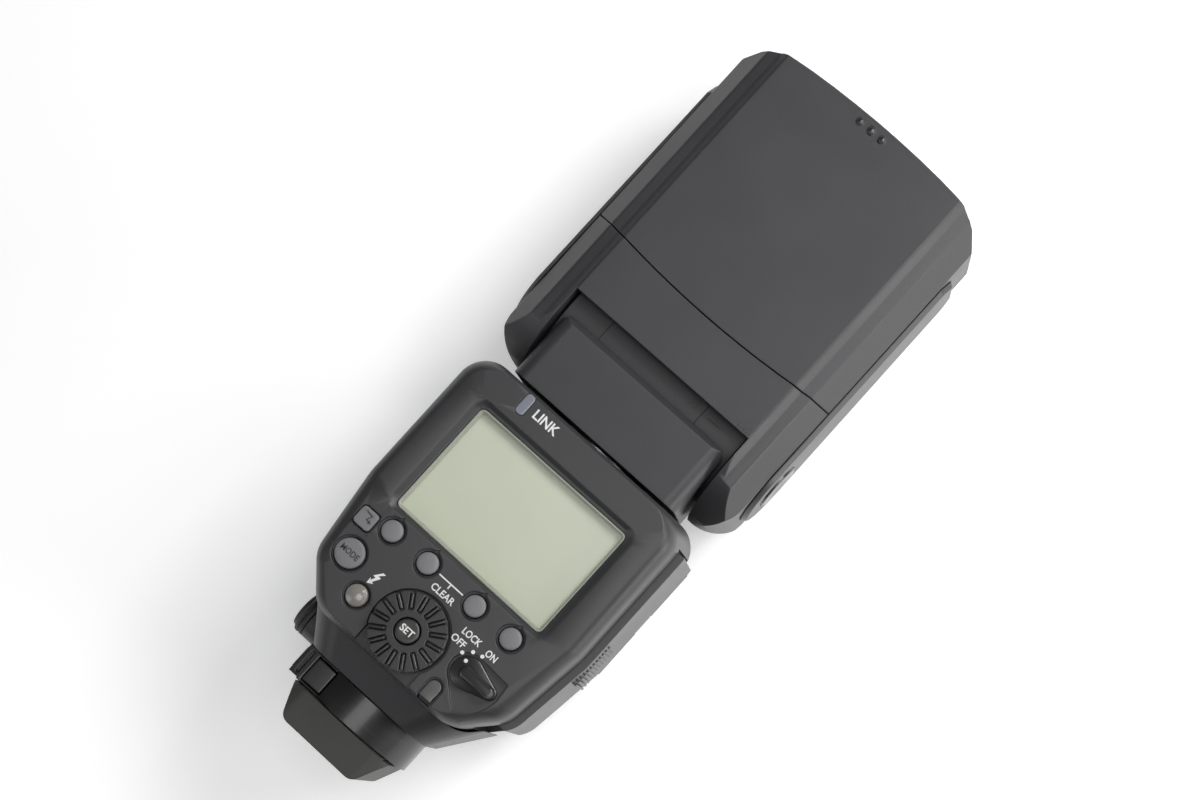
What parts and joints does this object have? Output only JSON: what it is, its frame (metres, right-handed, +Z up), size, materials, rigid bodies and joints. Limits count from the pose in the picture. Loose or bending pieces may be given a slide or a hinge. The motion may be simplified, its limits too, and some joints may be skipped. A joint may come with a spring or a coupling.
{
  "type": "speedlight flash",
  "caption": "Shoe-mount camera flash with a tilting, panning head, rear display, select dial, battery door, pull-out panels and a locking foot.",
  "frame": {"origin": "centre of the lower face of the shoe plate", "axes": "+Z up through the body to the head's lens end, -Y out of the rear control panel, +X to the right as seen from the rear"},
  "size_m": [0.0803, 0.0642, 0.209],
  "materials": {
    "case": "matte",
    "neck": "matte",
    "head": "matte",
    "cover": "satin",
    "rubber": "matte",
    "button_rubber": "matte",
    "button_clear": "satin",
    "gloss_black": "gloss",
    "dial": "satin",
    "window": "gloss",
    "display": "satin",
    "lamp": "satin",
    "red_lens": "gloss",
    "steel": "satin",
    "gold": "satin",
    "board": "satin",
    "cell": "gloss",
    "capacitor": "gloss",
    "clear": "gloss",
    "white": "matte",
    "reflector": "polished"
  },
  "bodies": {
    "body": {"rear_case": "case", "front_case": "case", "pan_ring": "steel", "lcd_window": "window", "lcd_panel": "display", "control_board": "board", "power_board": "board", "link_lamp": "lamp", "exposure_lamp": "lamp", "af_assist_lens": "red_lens", "sensor_window": "red_lens", "battery_sleeve": "case", "aa_cells": "cell", "battery_springs": "gold", "main_capacitor": "capacitor", "case_screws": "steel", "sync_terminal": "gold", "foot_collar": "case", "foot_base": "case", "foot_plate": "steel", "contact_block": "case", "rubber_skirt": "rubber", "foot_screws": "steel"},
    "flap": {"socket_cover": "rubber"},
    "cap": {"terminal_cap": "rubber"},
    "dial": {"select_dial": "dial"},
    "set": {"set_button": "gloss_black"},
    "function_1": {"function_button_1": "button_rubber"},
    "function_2": {"function_button_2": "button_rubber"},
    "function_3": {"function_button_3": "button_rubber"},
    "function_4": {"function_button_4": "button_rubber"},
    "mode": {"mode_button": "button_rubber"},
    "link": {"link_button": "button_rubber"},
    "test": {"test_button": "button_clear"},
    "switch": {"power_switch": "gloss_black"},
    "lever": {"lock_lever": "gloss_black"},
    "lever_button": {"lock_release_button": "gloss_black"},
    "pin": {"lock_pin": "steel"},
    "contacts": {"shoe_contacts": "gold"},
    "door_carriage": {"door_hinge_rod": "steel"},
    "door": {"battery_door": "case", "door_contacts": "gold"},
    "neck": {"neck_block": "neck", "hinge_barrel": "neck", "pan_shaft": "steel", "tilt_shafts": "steel"},
    "head": {"head_base": "head", "head_rear_shell": "head", "head_front_shell": "head", "side_cover_left": "cover", "side_cover_right": "cover", "flash_lens": "clear", "zoom_motor": "steel", "guide_rods": "steel"},
    "zoom": {"reflector": "reflector", "flash_tube": "clear"},
    "screw": {"lead_screw": "steel"},
    "catchlight": {"catchlight_panel": "white"},
    "wide": {"wide_panel": "clear"},
    "tilt_button": {"tilt_release_button": "gloss_black"}
  },
  "joints": [
    {"name": "neck_pan", "type": "hinge", "parent": "body", "child": "neck", "pos_m": [0, 0, 0.098], "axis": [0, 0, 1], "range_deg": [-180, 180]},
    {"name": "head_tilt", "type": "hinge", "parent": "neck", "child": "head", "pos_m": [0, 0, 0.1215], "axis": [-1, 0, 0], "range_deg": [0, 97]},
    {"name": "tilt_release_press", "type": "slide", "parent": "head", "child": "tilt_button", "axis": [-1, 0, 0], "range_m": [0, 0.0012], "stiffness_N_per_m": 800},
    {"name": "catchlight_slide", "type": "slide", "parent": "head", "child": "catchlight", "axis": [0, 0, 1], "range_m": [0, 0.038]},
    {"name": "wide_panel_slide", "type": "slide", "parent": "head", "child": "wide", "axis": [0, 0, 1], "range_m": [0, 0.04]},
    {"name": "zoom_slide", "type": "slide", "parent": "head", "child": "zoom", "axis": [0, 0, -1], "range_m": [0, 0.028]},
    {"name": "lead_screw_spin", "type": "hinge", "parent": "head", "child": "screw", "pos_m": [-0.0334, 0.008, 0.15], "axis": [0, 0, 1], "continuous": true},
    {"name": "dial_spin", "type": "hinge", "parent": "body", "child": "dial", "pos_m": [0, -0.033, 0.0334], "axis": [0, 1, 0], "continuous": true},
    {"name": "set_press", "type": "slide", "parent": "body", "child": "set", "axis": [0, 1, 0], "range_m": [0, 0.0008], "stiffness_N_per_m": 800},
    {"name": "function_1_press", "type": "slide", "parent": "body", "child": "function_1", "axis": [0, 1, 0], "range_m": [0, 0.0008], "stiffness_N_per_m": 800},
    {"name": "function_2_press", "type": "slide", "parent": "body", "child": "function_2", "axis": [0, 1, 0], "range_m": [0, 0.0008], "stiffness_N_per_m": 800},
    {"name": "function_3_press", "type": "slide", "parent": "body", "child": "function_3", "axis": [0, 1, 0], "range_m": [0, 0.0008], "stiffness_N_per_m": 800},
    {"name": "function_4_press", "type": "slide", "parent": "body", "child": "function_4", "axis": [0, 1, 0], "range_m": [0, 0.0008], "stiffness_N_per_m": 800},
    {"name": "mode_press", "type": "slide", "parent": "body", "child": "mode", "axis": [0, 1, 0], "range_m": [0, 0.0008], "stiffness_N_per_m": 800},
    {"name": "link_press", "type": "slide", "parent": "body", "child": "link", "axis": [0, 1, 0], "range_m": [0, 0.0008], "stiffness_N_per_m": 800},
    {"name": "test_press", "type": "slide", "parent": "body", "child": "test", "axis": [0, 1, 0], "range_m": [0, 0.0008], "stiffness_N_per_m": 800},
    {"name": "power_switch_turn", "type": "hinge", "parent": "body", "child": "switch", "pos_m": [0.0172, -0.033, 0.0356], "axis": [0, 1, 0], "range_deg": [0, 58]},
    {"name": "lock_lever_turn", "type": "hinge", "parent": "body", "child": "lever", "pos_m": [0, 0, 0.009], "axis": [0, 0, 1], "range_deg": [0, 60]},
    {"name": "lock_release_press", "type": "slide", "parent": "lever", "child": "lever_button", "axis": [0, 1, 0], "range_m": [0, 0.0008], "stiffness_N_per_m": 800},
    {"name": "lock_pin_slide", "type": "slide", "parent": "body", "child": "pin", "axis": [0, 0, -1], "range_m": [0, 0.0016]},
    {"name": "contact_press", "type": "slide", "parent": "body", "child": "contacts", "axis": [0, 0, 1], "range_m": [0, 0.0004], "stiffness_N_per_m": 1500},
    {"name": "door_slide", "type": "slide", "parent": "body", "child": "door_carriage", "axis": [0, 0, -1], "range_m": [0, 0.004]},
    {"name": "door_swing", "type": "hinge", "parent": "door_carriage", "child": "door", "pos_m": [0.0352, 0.0136, 0.07], "axis": [0, 0, 1], "range_deg": [0, 100]},
    {"name": "flap_swing", "type": "hinge", "parent": "body", "child": "flap", "pos_m": [-0.0354, 0.0025, 0.0404], "axis": [0, 1, 0], "range_deg": [0, 95]},
    {"name": "cap_pull", "type": "slide", "parent": "body", "child": "cap", "axis": [-1, 0, 0], "range_m": [0, 0.006]}
  ],
  "couplings": [
    {"joint": "lead_screw_spin", "follows": "zoom_slide", "rad_per_m": 1570.8},
    {"joint": "lock_pin_slide", "follows": "lock_lever_turn", "m_per_rad": 0.0015}
  ]
}
